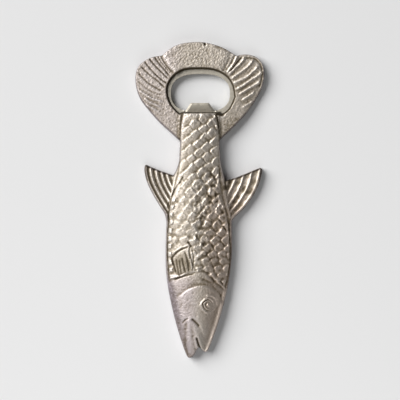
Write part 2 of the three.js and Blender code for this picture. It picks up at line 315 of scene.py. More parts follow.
class Builder:
    """Collects points and triangles in mm, and makes a mesh of them."""

    def __init__(self):
        self.points, self.triangles, self.count = [], [], 0

    def add(self, xy, z, tarnish_and_shading=0.5, painted_shade=0.0):
        """Adds points with their heights and tones, and returns their numbers."""
        z, tarnish_and_shading, painted_shade = (np.broadcast_to(value, len(xy)) for value in (z, tarnish_and_shading, painted_shade))
        self.points.append(np.column_stack([xy, z, tarnish_and_shading, painted_shade]))
        ids = np.arange(self.count, self.count + len(xy))
        self.count += len(xy)
        return ids

    def face(self, triangles):
        self.triangles.append(np.asarray(triangles))

    def band(self, upper, lower):
        """Joins two loops of the same length; the outside is on the right of the loops."""
        a, b = upper, np.roll(upper, -1)
        c, d = lower, np.roll(lower, -1)
        self.face(np.stack([a, c, b], 1))
        self.face(np.stack([b, c, d], 1))

    def wall(self, ids, xy, rings, painted_shade, spread=None):
        """Rings beyond a loop, each (outward offset, height, tone of tarnish and painted shade), joined in
        turn; returns the last.

        Where spread is given, it scales the offsets beyond RIM by the way the wall faces."""
        normals = outward(xy)
        place = relaxed(xy, 3)
        for offset, z, tarnish_and_shading in rings:
            beyond = max(offset - RIM, 0)
            lean = spread(normals) if spread else 1
            ring_xy = place + normals * (offset - beyond + beyond * lean)
            below = self.add(ring_xy, z, tarnish_and_shading, painted_shade)
            self.band(ids, below)
            ids = below
        return ids, ring_xy

    def cap(self, loops):
        """Fills between an outer loop and its holes, given as (ids, xy) pairs, facing down."""
        ids = np.concatenate([i for i, _ in loops])
        xy = np.vstack([p for _, p in loops])
        edges, first = [], 0
        for i, _ in loops:
            n = len(i)
            edges += [(first + k, first + (k + 1) % n) for k in range(n)]
            first += n
        convex, tolerance = 0, 1e-7
        made = geometry.delaunay_2d_cdt([tuple(p) for p in xy], edges, [], convex, tolerance)
        back = [o[0] for o in made[3]]
        faces = np.array([[back[v] for v in f] for f in made[2]])
        middle = xy[faces].mean(1)
        keep = inside(middle[:, 0], middle[:, 1], loops[0][1])
        for _, hole in loops[1:]:
            keep &= ~inside(middle[:, 0], middle[:, 1], hole)
        faces = faces[keep]
        a, b, c = xy[faces[:, 0]], xy[faces[:, 1]], xy[faces[:, 2]]
        up = np.cross(b - a, c - a) > 0
        faces[up] = faces[up][:, ::-1]
        self.face(ids[faces])

    def finish(self, name, material):
        """The mesh, with its tones as attributes, as a piece that rides on the body."""
        points = np.vstack(self.points)
        triangles = np.vstack(self.triangles)
        mesh = bpy.data.meshes.new(name)
        mesh.vertices.add(len(points))
        mesh.vertices.foreach_set("co", (points[:, :3] * MM).astype(np.float32).ravel())
        mesh.loops.add(triangles.size)
        mesh.loops.foreach_set("vertex_index", triangles.astype(np.int32).ravel())
        mesh.polygons.add(len(triangles))
        mesh.polygons.foreach_set("loop_start", np.arange(0, triangles.size, 3, dtype=np.int32))
        mesh.polygons.foreach_set("use_smooth", np.ones(len(triangles), bool))
        for column, label in ((3, "tarnish_and_shading"), (4, "painted_shade")):
            layer = mesh.attributes.new(label, "FLOAT", "POINT")
            layer.data.foreach_set("value", points[:, column].astype(np.float32))
        mesh.update()
        mesh.validate()
        mesh.set_sharp_from_angle(angle=SHARP)
        mesh.materials.append(material)
        piece = add_object(name, mesh)
        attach(piece, "root")
        return piece


# --- Relief on the casting's face. Tables along the length have rows of (y, value). Lines are (width,
# height, points), and a negative height is a groove.

grid = Grid((-36, -86), (36, 86))
X, Y = grid.x, grid.y


def stroke(points, width, height):
    """A ridge or groove along a curve, with softer ends."""
    field = np.zeros(X.shape)
    line = smooth(points)
    w = grid.window(line, 3 * width)
    d, along = distance(X[w], Y[w], line)
    ends = rise(along, -0.001, 0.06) * rise(1 - along, -0.001, 0.06)
    field[w] = height * np.exp(-((d / width) ** 2)) * (0.4 + 0.6 * ends)
    return field


def strokes(curves):
    return sum(stroke(points, width, height) for width, height, points in curves)


def plateau(ring, height, soft):
    """Everything inside a ring raised, with an edge that rises over the given width."""
    return height * rise(grid.signed(ring), -soft / 2, soft / 2)


LEFT_BEVEL = [(-84, 0.9), (-60, 1.5), (-20, 1.7), (10, 1.2), (30, 0.5), (46, 0.3)]
RIGHT_BEVEL = [
    (-84, 0.8), (-76, 1.9), (-60, 2.3), (-44, 1.7), (-20, 1.1), (10, 1.2), (30, 0.4), (46, 0.2)]
SPINE = [(-84, -3.5), (-60, -1.8), (-45, -1), (-30, -2.4), (-10, -3.6), (10, -3.6), (26, -2.6), (46, -1.5)]
SHOULDER = [(-84, 4.3), (-75, 5.9), (-60, 7.2), (-40, 7.7), (10, 7.4), (22, 7.6), (46, 7.9)]
RIGHT_DROP = [(-84, 0.5), (-75, 1.3), (-60, 1.9), (-44, 1.6), (-25, 1), (-5, 0)]
LEFT_FALL = 2.3  # a higher power keeps the dome fuller towards its edge
RIGHT_FALL = [(-60, 2), (-40, 1.6), (10, 1.5), (30, 1.8), (46, 2)]


def body_form():
    """The body's shoulder height, its domed height, and how far across it each point lies."""
    left = table(BODY_LEFT, Y) + table(LEFT_BEVEL, Y)
    right = table(BODY_RIGHT, Y) - table(RIGHT_BEVEL, Y)
    spine = table(SPINE, Y)
    on_left = X < spine
    across = np.where(on_left, (X - spine) / (spine - left), (X - spine) / (right - spine))
    shoulder = table(SHOULDER, Y) - rise(X - spine, 0, 3) * table(RIGHT_DROP, Y)
    swell = 1 - np.clip(np.abs(across), 0, 1) ** np.where(on_left, LEFT_FALL, table(RIGHT_FALL, Y))
    return shoulder, shoulder + (table(CREST, Y) - shoulder) * swell, across


SCALE_SEED = 11
TAIL_PITCH = 2.54  # between rows next to the tail
FIRST_ROW, LAST_ROW = 29.4 + 7 * TAIL_PITCH, -47
HALF_PITCH = [(-38, 2.4), (-25, 2.7), (-3, 2.95), (9, 3.3), (16, 4.35), (48, 4.35)]
ROW_HEIGHT = [(-38, 3.5), (-22, 3.9), (-3, 4.4), (9, 4.1), (16, TAIL_PITCH), (48, TAIL_PITCH)]
SLANT = [(-35, 28), (-20, 34), (-8, 45), (5, 48), (18, 42), (48, 42)]  # degrees
ROW_TILT = [(2, 0), (18, 0.115)]
ROW_START = [(-40, -7.6), (-3, -2.9), (14.2, 1.2), (47, -3.3)]
STRAY, TURN = 0.35, 6  # how far, in mm and degrees, a scale is from its even place


def scale_places():
    """Middle, half pitch, row height, slant and lift of each scale, row by row from tail to gill."""
    random = np.random.RandomState(SCALE_SEED)
    y = FIRST_ROW
    row = 1
    while y > LAST_ROW:
        half, tall, slant = table(HALF_PITCH, y), table(ROW_HEIGHT, y), table(SLANT, y)
        tilt, start = table(ROW_TILT, y), table(ROW_START, y)
        for k in range(-6, 7):
            x = start + (2 * k + row % 2) * half
            place = (x + random.uniform(-STRAY, STRAY),
                     y + (x - start) * tilt + random.uniform(-STRAY, STRAY))
            turned = math.radians(slant + random.uniform(-TURN, TURN))
            yield place, half, tall, turned, random.uniform(0.7, 1.2)
        y -= tall
        row += 1


def shingle(lift, reach, inward, inset):
    """One scale: it falls away from its free edge, and ends softly at its sides."""
    edge = np.clip((inward + 0.95) / 1.45, 0, 1)
    front = 0.7 * edge + 0.3 * edge * edge * (3 - 2 * edge)
    height = lift * front * np.clip(1 - inward / (2.3 * reach), 0, 1)
    height *= 0.72 + 0.28 * rise(inset, -0.1, 0.5)
    return height * rise(inset, -0.35, 0.05)


def scales(rough):
    """Shingles that slope up towards a free edge, which faces the tail and the left."""
    field = np.zeros(X.shape)
    warp_x = rough * (0.36 * grid.noise(21, 1) + 0.16 * grid.noise(22, 0.4))
    warp_y = rough * (0.36 * grid.noise(23, 1) + 0.16 * grid.noise(24, 0.4))
    for (sx, sy), half, tall, slant, lift in scale_places():
        w = grid.window([(sx, sy)], 10)
        c, s = math.cos(slant), math.sin(slant)
        dx, dy = X[w] + warp_x[w] - sx, Y[w] + warp_y[w] - sy
        along = dx * c + dy * s
        ahead = dy * c - dx * s
        reach, length = (half * s + tall * c) / 2, (half * c + tall * s) / 2
        inward = reach - ahead - 0.07 * along**2
        field[w] = np.maximum(field[w], shingle(lift, reach, inward, length - np.abs(along)))
    worn = table([(6, 1), (16, 0)], Y)
    return field + worn * np.maximum(grid.blur(field, 0.5) - field, 0)


SCALED = [
    [(-8.7, 46.4), (-9.6, 42), (-10.1, 37), (-10.3, 28), (-10.8, 20), (-12.2, 12), (-14, 5.3), (-15.4, 0),
     (-16.5, -6.4), (-16.5, -11.7), (-17.1, -17), (-17.2, -30)],
    [(-16.2, -42.4), (-10.7, -40.6), (-5.3, -38.5), (0, -37.6)],
    [(2.4, -37.8), (5.3, -40.6), (8.8, -43.4)],
    [(13, -47.2), (15.2, -38), (15.9, -28), (15.6, -20), (14.9, -12), (13, -2), (11.2, 6), (10.3, 14),
     (9.9, 28), (9.6, 37), (9, 42)],
    [(8.1, 46.4)]]
PECTORAL = [
    [(-5.1, -23.9), (-8.3, -25.6), (-12, -27.9)],
    [(-14.6, -30.4), (-13.9, -34)],
    [(-12.3, -39.4)],
    [(-3.9, -37.6), (-4.2, -32.6), (-5, -28.5)]]
PECTORAL_LINES = [
    (0.42, -0.5, [(-6.1, -24.7), (-8.5, -25.6), (-10.4, -26.4), (-12.5, -28), (-14.7, -30.6)]),
    (0.35, 0.25, [(-5.6, -23.7), (-7.1, -24.1), (-10.4, -25.3), (-14.1, -27.8)]),
    (0.4, -0.5, [(-14.7, -30.4), (-14.6, -32), (-14, -33.9), (-13.2, -36.5), (-12.7, -38.2)]),
    (0.42, -0.6, [(-6.4, -22.1), (-5.2, -23.5), (-4.6, -24.8)]),
    (0.38, -0.5, [(-5.3, -24.4), (-5.5, -27.1), (-5.2, -29.2), (-4.9, -31)]),
    (0.36, 0.3, [(-5.2, -30.8), (-4.7, -33.5), (-4, -36.6)]),
    (0.36, -0.35, [(-4.2, -25.9), (-3.5, -28.3), (-3.3, -31.1), (-3.4, -33.5), (-3.8, -36.8)]),
    (0.36, -0.3, [(-12.5, -31.6), (-12.1, -34.4), (-11.6, -37.2), (-11.3, -39)]),
    (0.36, -0.3, [(-10.8, -32), (-10.5, -34.4), (-10.1, -37.2), (-9.8, -39)]),
    (0.38, -0.4, [(-9.4, -30.6), (-8.9, -33.5), (-8.3, -35.8), (-7.6, -38.2)]),
    (0.38, -0.36, [(-8, -27.3), (-7.3, -29.2), (-6.6, -31.6), (-6.1, -34.4), (-5.9, -37.8)])]
GILL = [
    [(-15.8, -42.4), (-10.7, -40.7), (-5.3, -38.7), (0, -37.8), (3.2, -38.4), (5.3, -41), (7.2, -43.6)],
    [(12.8, -48), (20, -54)],
    [(12, -86)],
    [(-12, -90), (-20, -54)]]
CHEEK = [
    [(-10.6, -50.6), (-8, -48.2), (-5.3, -46.6), (-2.7, -45.6), (0, -45.1), (3.2, -45.2), (6.4, -46.4)],
    [(10.2, -50.2), (12.5, -60)],
    [(12, -86)],
    [(-12, -90), (-12.5, -60)]]
HEAD_LINES = [
    (0.5, 0.5, [(-15.3, -41.9), (-13, -40.9), (-10.4, -40), (-6.3, -38.7), (-3.7, -38), (0, -37.3)]),
    (0.38, -0.42, [(-13.2, -42), (-10.4, -40.9), (-7, -39.8), (-3.6, -39)]),
    (0.45, -0.3, [(3.2, -37.9), (5.3, -39.5), (7, -41.9), (7.4, -43.4)]),
    (0.95, -0.3, [(1.3, -41.7), (3.5, -42.6), (5.5, -43.5), (7.2, -44.9)]),
    (0.5, 0.4, [(8.8, -43.4), (11.3, -45), (13.8, -47.4)]),
    (0.4, -0.25, [(10.2, -42.8), (12.2, -44.6), (14, -47)]),
    (0.7, 0.5, [(3.2, -50.6), (5.6, -50.3), (7.8, -51.4), (9.2, -53.6), (9.1, -56)]),
    (0.4, -0.35, [(-6.4, -62.7), (-7.8, -63.4), (-9.2, -65)]),
    (0.55, -0.6, [(-4.2, -62.8), (-2.2, -64.6), (-0.3, -66.8)]),
    (0.8, -0.08, [(-0.3, -66.8), (1.2, -70.5), (2.4, -75), (3.2, -79)]),
    (1.1, 0.3, [(-5.4, -62.4), (-5.6, -66), (-5.8, -73), (-5.4, -82)]),
    (0.9, -0.14, [(-7.7, -64.6), (-8, -69), (-7.9, -75)]),
    (0.9, 0.18, [(-4, -65.5), (-2.4, -69), (-0.6, -73.6), (0.4, -77)]),
    (0.6, -0.14, [(-3.9, -71.4), (-3.2, -75.4), (-2.2, -79.8)]),
    (0.4, -1.1, [(-1.8, -73), (-1, -75.7), (0.1, -78.8)]),
    (1.4, -0.26, [(11.2, -49), (9.8, -54), (8.2, -60), (5.4, -69.3), (3.8, -75)])]
EYE = (4.3, -55.5)
# From the outside in, each (radius, width, height).
EYE_RINGS = [(3.6, 0.58, 0.8), (2.75, 0.42, -0.32), (2.1, 0.42, 0.36), (1.4, 0.38, -0.38), (0, 0.9, 0.95)]


def head_relief():
    """The gill cover and cheek, the lines on the head, and the eye, which is worn on its right."""
    cheek_edge = 1.3 + 8 * rise(-X, 5, 11) * rise(-50 - Y, -1, 5)
    field = plateau(closed(GILL), 0.4, 1.8) + plateau(closed(CHEEK), 0.58, cheek_edge) + strokes(HEAD_LINES)
    reach = np.hypot(X - EYE[0], Y - EYE[1]) + 0.2 * grid.noise(41, 0.8)
    worn = 0.6 + 0.4 * np.cos(np.arctan2(Y - EYE[1], X - EYE[0]) - math.radians(165))
    for radius, width, height in EYE_RINGS:
        ring = height * np.exp(-(((reach - radius) / width) ** 2))
        field += ring * (worn if radius else 1)
    return field


PAD = [
    [(-19.6, 77.2), (-16, 81.2), (-10.7, 84), (0, 86), (10.7, 84)],
    [(18.4, 77), (16, 72.6), (13.3, 67.6)],
    [(11, 60)],
    [(-11, 60), (-13.7, 67.4), (-17.3, 72.6)]]
LEFT_LOBE_LINES = [
    (0.4, -0.45, [(-24.1, 76), (-22.3, 73.3), (-19.5, 70.1), (-16.2, 66)]),
    (0.3, -0.33, [(-22.3, 76.4), (-20.6, 73.3), (-18.2, 70.3), (-15.6, 67.2)]),
    (0.4, -0.29, [(-20.6, 76.3), (-18.8, 72.8), (-15, 67.8)]),
    (0.35, -0.45, [(-27.2, 75.5), (-25.5, 73.3), (-23, 70.5), (-20.5, 68), (-16.9, 64.5)]),
    (0.35, -0.45, [(-29.6, 73.9), (-27.3, 70.8), (-24.8, 68), (-22.3, 65.5), (-17.6, 61.8)]),
    (0.36, -0.39, [(-31.4, 71.1), (-28.7, 68.3), (-26.2, 66.2), (-23.6, 64.2), (-20.6, 61.6),
                   (-18.6, 59.6)]),
    (0.45, -0.33, [(-32.8, 67.6), (-30.2, 64.7), (-26.6, 61.5), (-20.4, 58)]),
    (0.5, -0.2, [(-32.9, 63.2), (-29.8, 60.5), (-25.5, 57.6), (-20.5, 55.6)]),
    (0.5, -0.12, [(-32.4, 59.4), (-29.6, 57.4), (-25.4, 55.8), (-20.4, 54.2)]),
    (0.5, 0.37, [(-32.2, 58.2), (-28.7, 55.8), (-25.5, 54), (-20.2, 52.2)]),
    (0.5, 0.37, [(-29.4, 54), (-26, 51.6), (-21.2, 49.6)]),
    (0.5, 0.33, [(-28.6, 50.6), (-25, 48.6), (-21.6, 46.8)])]
RIGHT_LOBE_LINES = [
    (0.42, -1.1, [(2.4, 83.9), (2.8, 82.1)]),
    (0.8, -0.3, [(8.6, 81.7), (13.2, 79.9), (17.3, 77.6)]),
    (1.2, -0.4, [(16.9, 77.4), (14.9, 72.9), (12.3, 68.3)]),
    (0.8, 0.6, [(19.8, 76.7), (17.9, 72.6), (14.3, 67.6)]),
    (0.4, -0.5, [(22.1, 75.8), (20, 73.3), (16.1, 68.5)]),
    (0.7, 0.7, [(23.6, 75.3), (21.4, 72.6), (18.6, 70.1), (15.6, 66.9)]),
    (0.7, 0.75, [(28.1, 74.1), (25.7, 71.2), (22.1, 68.3), (17, 64.7)]),
    (0.7, 0.8, [(31, 71.2), (28.6, 68.7), (25, 65.5), (21.4, 63.7), (18, 62.1)]),
    (0.65, 0.75, [(33, 68.1), (30.3, 65.8), (26.4, 63.3), (22.8, 60.8), (19.7, 59.2)]),
    (0.65, 0.7, [(32.3, 63.2), (29.6, 61.4), (26.4, 59.6), (23.2, 57.6), (21.1, 56.4)]),
    (0.65, 0.55, [(28.8, 57.2), (25, 54.6), (22.6, 53.3)]),
    (0.6, 0.4, [(27.9, 52.4), (25, 50.5), (23.2, 49.4)]),
    (0.55, -0.42, [(24.3, 75.6), (28.2, 75.3), (30.6, 74), (32.5, 71.7), (33.2, 68), (32.9, 64.4),
                   (31.6, 60)])]
PEDUNCLE_LINES = [
    (0.3, -0.35, [(-9.1, 46), (-9.8, 42), (-10.3, 37), (-10.5, 32)]),
    (0.45, 0.2, [(-10.5, 45.4), (-10.9, 41), (-11.2, 36), (-11, 32.5)]),
    (0.3, -0.25, [(8.4, 46), (9.2, 41.6), (9.9, 37.3), (10.2, 33)]),
    (0.4, 0.28, [(9.7, 45.4), (10.2, 41), (10.6, 36), (10.8, 33.5)]),
    (0.55, -1.8, [(8.9, 46.4), (10, 45.7), (11.2, 45.2), (12.6, 45.5)])]


def tail_relief(on_pad):
    """The raised pad at the tip, the rays of both lobes, and the lines beside the tail's root."""
    field = 0.5 * on_pad + strokes(LEFT_LOBE_LINES) + strokes(RIGHT_LOBE_LINES) + strokes(PEDUNCLE_LINES)
    return field - 0.3 * rise(X, 13, 18) * rise(Y, 49, 53) * (1 - on_pad)


# Rays of the pelvic fins, each (distance from the fin's outer edge, strength).
LEFT_GROOVES = [(2.1, 1.2), (5.1, 0.9), (8, 0.9), (10.7, 0.9), (13.3, 0.7)]
LEFT_RIDGES = [(3.6, 0.8), (6.6, 0.9), (9.4, 0.9), (12, 0.8)]
RIGHT_RIDGES = [(1.5, 0.7), (5.7, 1), (9.8, 1), (13.8, 0.9), (17.4, 0.6)]
ROOT_Y = (-12, 0, 14)
LEFT_ROOT = (17.2, 15.9, 13.6)  # distance of the fin's root from the middle at each ROOT_Y
RIGHT_ROOT = (17.2, 15, 13.4)
FIN_REAR, FIN_FRONT = 19, -12
PELVIC_ROOTS = [
    (0.42, -0.75, [(-8.6, 13), (-10.4, 9.6), (-12.8, 6.6), (-15, 1.9), (-16.6, -2), (-17.2, -5)]),
    (0.45, -0.7, [(-16.8, -4), (-16.9, -7), (-17, -11)]),
    (0.5, -0.2, [(13, 10), (13.6, 4), (15.2, -3), (16.6, -9)])]


def fin_rays(side, edge, root, rays, width, height):
    """Rays that keep a steady distance from a pelvic fin's outer edge."""
    line = smooth(edge)
    order = np.argsort(line[:, 1])
    gap = side * (np.interp(Y, line[order, 1], line[order, 0]) - X)
    in_fin = rise(side * X - np.interp(Y, ROOT_Y, root), -0.5, 0.5)
    in_fin = in_fin * rise(Y, FIN_FRONT, FIN_FRONT + 0.5) * rise(FIN_REAR - Y, 0, 0.5)
    return sum(in_fin * part * height * np.exp(-(((gap - at) / width) ** 2)) for at, part in rays)


def pelvic_relief(beads):
    """The fins' rays, and the grooves where the fins meet the body."""
    left_edge, right_edge = LEFT_FIN_EDGE + LEFT_FIN_TOP[:1], RIGHT_FIN_EDGE + RIGHT_FLANK[:1]
    field = fin_rays(-1, left_edge, LEFT_ROOT, LEFT_GROOVES, 0.7, -0.7)
    field += fin_rays(-1, left_edge, LEFT_ROOT, LEFT_RIDGES, 0.5, 0.35)
    field += fin_rays(1, right_edge, RIGHT_ROOT, RIGHT_RIDGES, 0.85, 0.68)
    return field + (0.35 + 0.65 * beads) * strokes(PELVIC_ROOTS)


def edge_squares(zone):
    """The row of square scales just inside the left edge."""
    squares = rise(np.cos(2 * math.pi * Y / 4.1 + 0.5 * grid.noise(9, 1.5)), -0.7, 0)
    squares = squares * rise(zone.in_scales, 0.2, 0.7) * rise(2.6 - zone.in_scales, 0, 0.7)
    return squares * rise(-X, 9, 11) * rise(2 - Y, 0, 3) * (1 - zone.pectoral)


def flank_relief(zone, rough):
    """The scales, the pectoral fin, and the beaded groove along both edges of the scales."""
    height = table([(-40, 0.8), (-10, 0.95), (15, 1.1), (46, 1.1)], Y)
    height = height * (1 - 0.3 * rise(-X, 3, 8)) * (1 + 0.4 * rise(X, -1, 5) * rise(-Y, 4, 14))
    knobs = rough * (0.1 * grid.noise(31, 0.7) + 0.07 * grid.noise(32, 0.4))
    relief = (height * scales(rough) + knobs) * rise(zone.in_scales, -0.1, 0.8) * (1 - zone.pectoral)
    relief += 0.55 * zone.pectoral + strokes(PECTORAL_LINES)
    relief += 0.75 * edge_squares(zone)
    depth = np.where(X < 0, 0.52 * rise(4 - Y, 0, 4), 0.17 * rise(-6 - Y, 0, 4)) * rise(Y, -41, -39)
    return relief - depth * zone.beads * np.exp(-((zone.in_scales / 0.45) ** 2))


def skin(zone):
    """The fine bumps and pits that a sand mould leaves."""
    on_tail = rise(Y, 28, 32)
    off_scales = 1 - rise(zone.in_scales, -0.5, 0.5)
    grain = (0.03 + 0.015 * on_tail + 0.01 * zone.pad) * grid.noise(1, 0.22)
    swells = 0.016 * grid.noise(3, 2.2)
    lumps = 0.016 * grid.noise(2, 0.34) * off_scales * (on_tail + rise(-38 - Y, 0, 4))
    pits = 0.1 * np.clip(grid.noise(4, 0.3) - 1.6, 0, 2)
    return grain + swells + lumps + (0.009 * grid.noise(5, 0.55) - pits) * zone.pad


# --- The casting's tones.

RIM_WIDTH = [(-84, 1.5), (-76, 3), (-50, 3.7), (-41, 2.5), (-30, 2)]
RIM_SOFT = [(-50, 1.8), (-38, 0.8)]
FLAT_TONE = 0.48  # of the nickel's plain colour


def find_zones(to_edge):
    """How much each point belongs to each region, from 0 to 1, and its distances from two edges."""
    in_scales = grid.signed(closed(SCALED))
    rim = rise(-in_scales, -0.2, 0.5) * rise(-2 - Y, 0, 4) * rise(-X, 2, 6)
    return SimpleNamespace(
        to_edge=to_edge,
        in_scales=in_scales,
        head=rise(-43 - Y, 0, 5),
        pectoral=rise(grid.signed(closed(PECTORAL)), -0.3, 0.3),
        pad=rise(grid.signed(closed(PAD)), -0.7, 0.7),
        fins=rise(np.abs(X), 17, 19) * rise(24 - Y, 0, 1),
        left_rim=rim * rise((table(RIM_WIDTH, Y) - to_edge) / table(RIM_SOFT, Y), -1, 1),
        beads=0.55 + 0.45 * np.tanh(1.5 * grid.noise(8, 1.1)))


def spot(x, y, wide, tall):
    """A soft spot, 1 at its middle."""
    return np.exp(-(((X - x) / wide) ** 2) - ((Y - y) / tall) ** 2)


def tints(zone):
    """How much darker each region is than its relief makes it; below 0 it is brighter. Many of these
    regions carry painted light or painted shade.
    """
    nose = rise(X, -2, 2) * rise(-64 - Y, 0, 6)
    right_cheek = rise(X, 2, 8) * rise(-46 - Y, 0, 8)
    painted_rim_reflection = zone.head * rise(X, 0, 4) * (1 - rise(zone.to_edge, 1.8, 3))
    right_flank = rise(X, 4, 9) * rise(-Y, -6, 2) * rise(Y, -42, -38)
    left_waist = rise(-X, 4, 8) * rise(X, -13, -11) * rise(Y, 12, 18) * rise(46 - Y, 0, 1)
    right_waist = rise(X, 12, 13) * rise(Y, 28, 30) * rise(46 - Y, 0, 4)
    right_lobe = rise(X, 12, 16) * rise(Y, 58, 64)
    fin_tops = rise(np.abs(X), 13.5, 15.5) * rise(Y, 9, 11) * rise(21 - Y, 0, 1)
    eye, gill, painted_corner_shadow = spot(5, -54.5, 4.5, 4.5), spot(0, -44, 6, 5), spot(10.4, 45.4, 1.3, 0.6)
    return [
        # Painted shade along the left rim.
        (0.04, zone.left_rim),
        (0.24, zone.pectoral * rise(-Y, 25, 33)),
        (-0.05, zone.fins),
        (0.02, zone.head),
        # Painted light: the right half of the head, its right cheek and its nose are lightened as if lit
        # there.
        (-0.05, zone.head * rise(X, -5, -1)),
        (-0.09, right_cheek),
        (-0.14, nose),
        # Painted reflection: a light band along the head's right edge.
        (-0.14, painted_rim_reflection),
        (0.11, gill),
        # Painted light round the eye, which sits on a slope turned from the lamp.
        (-0.12, eye),
        # Painted light on the right lobe and the right of the body, which face away from the lamp.
        (-0.06, right_lobe),
        (-0.04, right_flank),
        # Painted shade on the left of the body, the left of the neck and beside the tail's root on the
        # right.
        (0.02, rise(-X, 4, 8)),
        (0.06, left_waist),
        (0.11, right_waist),
        # Painted shadow where the ring runs under the casting's lower right corner.
        (0.4, painted_corner_shadow),
        (0.45, fin_tops * (1 - rise(zone.to_edge, 0.5, 1.4)))]


def tarnish_and_shading_tone(zone, rough, relief, face):
    """How dark each point's colour is, from 0 to 1: tarnish darkens hollows more than crests, and painted
    light and painted shade brighten or darken whole regions.
    """
    gain = 1 - (0.3 - 0.35 * rise(X, 0, 5) * rise(-Y, 4, 13)) * rise(zone.in_scales, 0, 1)
    hollow = grid.blur(face, 0.8) - face
    wide_hollow = np.clip(grid.blur(relief, 2.2) - relief, -0.4, 0.4)
    # Mottled darkening over the middle and right of the body: tarnish together with painted shade.
    patches = (0.07 + 0.1 * rough * grid.noise(33, 0.8)) * rise(X, -5, 1)
    patches = patches * rise(Y, -42, -30) * rise(22 - Y, 0, 12)
    tint = sum(amount * region for amount, region in tints(zone))
    return np.clip(FLAT_TONE + gain * hollow + 0.3 * wide_hollow + patches + tint, 0, 1)


def painted_shade_tone(zone):
    """How much painted shade greys the head's left rim, the outer edge and the fins' rear edges."""
    rim = table([(-84, 0.25), (-72, 0.4), (-58, 0.75)], Y) * zone.left_rim
    edge = table([(-76, 0.55), (-62, 0.9)], Y) * (1 - rise(zone.to_edge, 0.3, 0.9))
    fin_edge = 0.9 * (1 - rise(zone.to_edge, 0.5, 1.5)) * zone.fins * rise(Y, 10, 13)
    return np.maximum(np.maximum(rim, edge), fin_edge)


# --- The casting.

LIP = 0.45  # width over which the face rounds into the window
ROLL_WIDTH = [
    (-84, 1), (-60, 1.3), (-12, 1.5), (-8, 1.3), (20, 1.1), (31, 1), (36, 0.8), (70, 0.7), (80, 0.6)]
ROLL = [RIM * part for part in (0.55, 0.3, 0.12, 0.03, 0)]  # the swept rings' distances to the edge
SIDE_WALL = [(0.04, 0.9), (0.05, 0.5), (0, 0.2), (-0.12, 0.06), (-0.3, 0)]  # outward, height
WINDOW_WALL = [(0.12, 0.6), (0.3, 0.3), (0.5, 0)]  # outward, height above the ring
# The window's lip and wall are darkened as the dark joint round the window, with painted shade in the gap.
EDGE_CAVITY, SIDE_CAVITY, LIP_PAINTED_SHADE, JOINT_AND_SHADE = 0.5, 0.6, 0.8, 1.0  # tones of the walls
# Painted shade greys the side walls.
SIDE_PAINTED_SHADE = 0.9
SEAT_POINTS = 240
SEAT_BEVEL = 0.35


def base_form(on_head):
    """The face before anything is carved into it: the domed body, flat fins and drooping tail."""
    shoulder, dome, across = body_form()
    left, right = table(BODY_LEFT, Y), table(BODY_RIGHT, Y)
    in_body = (X > left) & (X < right) & (Y < PEDUNCLE_END)
    out = np.clip(X - 9, 0, 40)
    droop = 0.04 * out + 0.0034 * out**2
    tail = TAIL_TOP - droop * (1 - 0.75 * rise(Y, 50, 68)) - 0.02 * np.clip(-12 - X, 0, 40)
    beside = np.maximum(np.maximum(left - X, X - right), 0)
    flat = np.where(Y > 24, tail, FIN_TOP + 2.0 * np.exp(-beside / 2.5))
    base = np.where(np.abs(across) < 1, dome, np.where(in_body, shoulder, flat))
    base = grid.blur(np.where(Y > PEDUNCLE_END, tail, base), 0.3)
    return base + on_head * (grid.blur(base, 0.9) - base)


def casting_face(to_edge):
    """The face's height before its edges are rounded, and its two tones."""
    zone = find_zones(to_edge)
    rough = table([(-42, 0.8), (-25, 1), (-10, 1.2), (8, 1.2), (18, 0.4), (38, 0.35), (46, 0.9)], Y)
    rough = rough * (1 - 0.6 * rise(-X, 1, 6)) * (1 - 0.4 * rise(X, 1, 6) * rise(-Y, 4, 14))
    relief = flank_relief(zone, rough)
    relief += head_relief() + tail_relief(zone.pad) + pelvic_relief(zone.beads)
    relief += skin(zone)
    face = base_form(zone.head) + relief
    return face, tarnish_and_shading_tone(zone, rough, relief, face), painted_shade_tone(zone)


def roll_over(height, y, to_edge, to_window):
    """The face's height once it has been rounded over towards its edges."""
    t = np.clip(to_edge / table(ROLL_WIDTH, y), 0, 1)
    lip = np.clip(to_window / LIP, 0, 1)
    keep = np.sqrt(t * (2 - t)) * (0.72 + 0.28 * np.sqrt(lip * (2 - lip)))
    return WALL_TOP + (height - WALL_TOP) * keep


def add_side_wall(built, loop, xy, height):
    """Rolls the face over its outer edge and down to the back; loop numbers the face's points."""
    height, y = relaxed(height[loop], 6), xy[loop, 1]
    rings = [(RIM - left, roll_over(height, y, left, FAR), EDGE_CAVITY) for left in ROLL]
    rings += [(RIM + out, z, SIDE_CAVITY) for out, z in SIDE_WALL]
    return built.wall(loop, xy[loop], rings, SIDE_PAINTED_SHADE)


def wall_slope(normals):
    """The window's wall leans more at its upper left, where the ring's joint looks widest."""
    facing = normals[:, 0] * 0.75 - normals[:, 1] * 0.65
    return (0.85 + 0.5 * rise(facing, -0.2, 0.8))[:, None]


def add_window_wall(built, loop, xy, height):
    """Rolls the face over the window's edge and down to the ring; loop numbers the face's points."""
    height, y = relaxed(height[loop], 2), xy[loop, 1]
    rings = [(RIM - left, roll_over(height, y, FAR, left), LIP_PAINTED_SHADE) for left in ROLL]
    rings += [(RIM + out, RING_TOP + z, JOINT_AND_SHADE) for out, z in WINDOW_WALL]
    return built.wall(loop, xy[loop], rings, 0, wall_slope)


